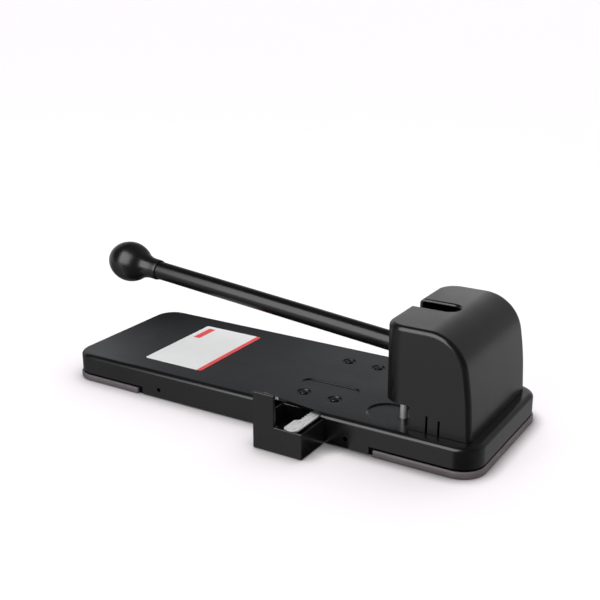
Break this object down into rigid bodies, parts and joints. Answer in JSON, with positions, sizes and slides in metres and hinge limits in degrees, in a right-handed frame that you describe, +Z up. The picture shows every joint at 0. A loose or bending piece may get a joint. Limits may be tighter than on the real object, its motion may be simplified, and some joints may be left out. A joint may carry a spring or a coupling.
{
  "type": "two-hole punch",
  "caption": "Heavy desk two-hole punch: pressed steel base with rubber foot trims, hood over the punch head, long tube lever with a ball knob, and a sliding toothed paper guide.",
  "frame": {"origin": "middle of the underside, between the two foot trims and between the long walls of the base, on the surface that the punch stands on", "axes": "+Z up; +X along the base from the knob towards the punch head; -Y is the side with the paper guide"},
  "size_m": [0.4093, 0.1803, 0.1155],
  "materials": {
    "base_paint": "satin black stoving paint",
    "hood_plastic": "satin black, fine grain",
    "guide_plastic": "satin black",
    "trim_rubber": "matt dark grey",
    "tube_paint": "semi-gloss black",
    "knob_plastic": "satin black",
    "bright_steel": "ground and polished",
    "plain_steel": "zinc plated",
    "dark_screw": "blackened steel",
    "label_sheet": "white with a plain red band",
    "pan_plastic": "matt black"
  },
  "bodies": {
    "base": {"base_shell": "base_paint", "bottom_plate": "pan_plastic", "foot_trim_left": "trim_rubber", "foot_trim_right": "trim_rubber", "label_plate": "label_sheet", "die_plate": "plain_steel", "back_stop": "plain_steel", "stripper_plate": "plain_steel", "side_plate_front": "plain_steel", "side_plate_rear": "plain_steel", "die_bush_front": "bright_steel", "die_bush_rear": "bright_steel", "hood": "hood_plastic", "pivot_pin": "bright_steel", "pivot_clip_front": "plain_steel", "pivot_clip_rear": "plain_steel", "guide_rail": "guide_plastic", "detent_spring": "bright_steel", "return_spring_front": "bright_steel", "return_spring_rear": "bright_steel", "bottom_screw_1": "dark_screw", "frame_bolt_1": "dark_screw", "frame_nut_1": "plain_steel", "rail_screw_1": "dark_screw", "bottom_screw_2": "dark_screw", "frame_bolt_2": "dark_screw", "frame_nut_2": "plain_steel", "rail_screw_2": "dark_screw", "bottom_screw_3": "dark_screw", "frame_bolt_3": "dark_screw", "frame_nut_3": "plain_steel", "rail_screw_3": "dark_screw", "bottom_screw_4": "dark_screw", "frame_bolt_4": "dark_screw", "frame_nut_4": "plain_steel", "rail_screw_4": "dark_screw", "die_screw_1": "dark_screw", "stripper_screw_1": "dark_screw", "hood_screw_1": "dark_screw", "die_screw_2": "dark_screw", "stripper_screw_2": "dark_screw", "hood_screw_2": "dark_screw"},
    "lever": {"lever_tube": "tube_paint", "lever_knob": "knob_plastic", "lever_yoke": "plain_steel", "tube_rivet": "plain_steel", "roller_pin": "bright_steel", "drive_roller": "bright_steel"},
    "beam": {"punch_beam": "plain_steel", "punch_pin_front": "bright_steel", "punch_pin_rear": "bright_steel", "spring_washer_front": "plain_steel", "spring_washer_rear": "plain_steel"},
    "guide": {"guide_block": "guide_plastic", "scale_strip": "bright_steel", "strip_rivet_1": "bright_steel", "strip_rivet_2": "bright_steel"}
  },
  "joints": [
    {"name": "lever_hinge", "type": "hinge", "parent": "base", "child": "lever", "pos_m": [0.162, 0, 0.066], "axis": [0, 1, 0], "range_deg": [0, 60]},
    {"name": "beam_slide", "type": "slide", "parent": "base", "child": "beam", "axis": [0, 0, 1], "range_m": [0, 0.024], "deforming": ["return_spring_front", "return_spring_rear"]},
    {"name": "guide_slide", "type": "slide", "parent": "base", "child": "guide", "axis": [0, -1, 0], "range_m": [-0.015, 0.053]}
  ],
  "couplings": [
    {"joint": "beam_slide", "follows": "lever_hinge", "m_per_rad": 0.022918}
  ]
}
